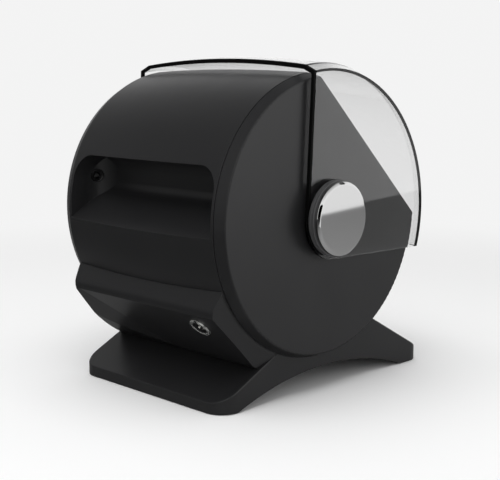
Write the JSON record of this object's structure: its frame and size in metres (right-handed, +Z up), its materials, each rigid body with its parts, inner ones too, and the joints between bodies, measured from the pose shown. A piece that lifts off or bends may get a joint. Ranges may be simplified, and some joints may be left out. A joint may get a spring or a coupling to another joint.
{
  "type": "filament dryer box",
  "caption": "Barrel-shaped dry box for printer filament spools on splayed feet, with a clear lid turning on the drum's axis, a chrome knob, a grip recess, spool rollers and a warm-air heater.",
  "frame": {"origin": "on the floor, below the middle of the object's bounding box", "axes": "+X along the drum's axis towards the plain cap, -Y towards the lid opening, +Y towards the grip recess and power inlet, +Z up"},
  "size_m": [0.3026, 0.3402, 0.354],
  "materials": {
    "black_plastic": "fine matte texture",
    "dark_trim": "smooth satin black",
    "clear_plastic": "polished transparent",
    "bearing_plastic": "smooth",
    "chrome_cap": "polished",
    "steel": "turned",
    "rubber": "matte",
    "floor_sheet": "satin black paint",
    "fin_metal": "bare",
    "core_ceramic": "matte",
    "inner_plastic": "smooth",
    "board_laminate": "solder mask",
    "sensor_case": "smooth",
    "inlet_metal": "plated",
    "pin_metal": "plated"
  },
  "bodies": {
    "housing": {"drum_shell": "black_plastic", "left_side_cover": "black_plastic", "right_side_cover": "black_plastic", "rear_housing": "black_plastic", "stand": "black_plastic", "left_pivot_collar": "dark_trim", "right_pivot_collar": "dark_trim", "filament_outlet_bush": "dark_trim", "left_roller_bracket": "bearing_plastic", "right_roller_bracket": "bearing_plastic", "right_pivot_cap": "chrome_cap", "encoder_nut": "steel", "cover_screws": "steel", "collar_screws": "steel", "bracket_screws": "steel", "stand_screws": "steel", "housing_screws": "steel", "board_screws": "steel", "foot_pads": "rubber", "floor_plate": "floor_sheet", "heater_fins": "fin_metal", "heater_core": "core_ceramic", "fan_frame": "inner_plastic", "inlet_core": "inner_plastic", "knob_encoder": "inner_plastic", "board_components": "inner_plastic", "control_board": "board_laminate", "humidity_sensor": "sensor_case", "inlet_shell": "inlet_metal", "inlet_nut": "inlet_metal", "inlet_pins": "pin_metal"},
    "lid": {"clear_lid": "clear_plastic", "lid_edge_trim": "dark_trim", "left_lid_bush": "bearing_plastic", "right_lid_bush": "bearing_plastic"},
    "knob": {"control_knob": "chrome_cap", "encoder_shaft": "steel"},
    "front_roller": {"front_roller_shaft": "steel", "front_roller_sleeve": "rubber"},
    "rear_roller": {"rear_roller_shaft": "steel", "rear_roller_sleeve": "rubber"},
    "fan_wheel": {"fan_impeller": "inner_plastic"}
  },
  "joints": [
    {"name": "lid_turn", "type": "hinge", "parent": "housing", "child": "lid", "pos_m": [0, 0.01697, 0.1885], "axis": [-1, 0, 0], "range_deg": [0, 98]},
    {"name": "knob_spin", "type": "hinge", "parent": "housing", "child": "knob", "pos_m": [0, 0.01697, 0.1885], "axis": [-1, 0, 0], "continuous": true},
    {"name": "front_roller_spin", "type": "hinge", "parent": "housing", "child": "front_roller", "pos_m": [0, -0.0425, 0.07178], "axis": [1, 0, 0], "continuous": true},
    {"name": "rear_roller_spin", "type": "hinge", "parent": "housing", "child": "rear_roller", "pos_m": [0, 0.07645, 0.07178], "axis": [1, 0, 0], "continuous": true},
    {"name": "fan_spin", "type": "hinge", "parent": "housing", "child": "fan_wheel", "pos_m": [-0.056, 0.01697, 0.0545], "axis": [0, 0, 1], "continuous": true}
  ]
}
